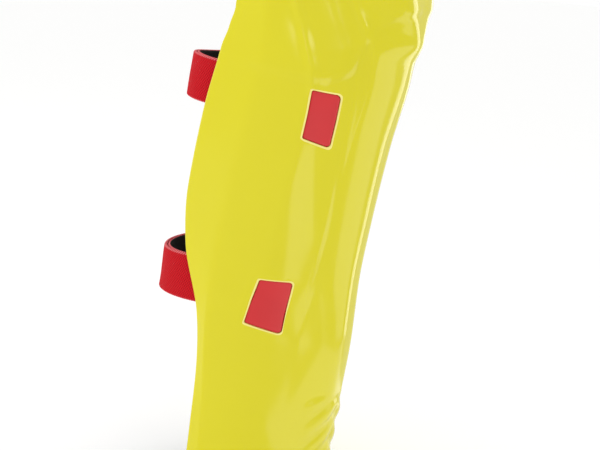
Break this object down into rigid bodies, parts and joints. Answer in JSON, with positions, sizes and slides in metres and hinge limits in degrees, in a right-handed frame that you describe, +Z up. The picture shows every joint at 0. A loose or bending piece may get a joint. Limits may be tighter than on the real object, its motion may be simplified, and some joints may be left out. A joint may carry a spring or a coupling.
{
  "type": "ski racing shin guard",
  "caption": "Hard contoured leg guard with a flared knee cup, ribbed instep, foam-lined open back and elastic hook-and-loop strap loops anchored in windows in its sides.",
  "frame": {"origin": "on the floor, under the middle of the guard's length from front to back, in its plane of symmetry; the guard stands on the flat lower rim of its shell", "axes": "+Z up, +X to the front of the leg, +Y to the wearer's left"},
  "size_m": [0.2068, 0.132, 0.4388],
  "materials": {
    "shell": "glossy injection-moulded plastic",
    "liner": "matt closed-cell foam",
    "strap": "woven elastic webbing",
    "anchor": "satin moulded plastic"
  },
  "bodies": {
    "root": {"shell": "shell", "foam_liner": "liner", "upper_strap_outer": "strap", "upper_strap_inner": "strap", "lower_strap_outer": "strap", "lower_strap_inner": "strap", "upper_anchor_right": "anchor", "upper_anchor_left": "anchor", "lower_anchor_right": "anchor", "lower_anchor_left": "anchor"}
  },
  "joints": []
}
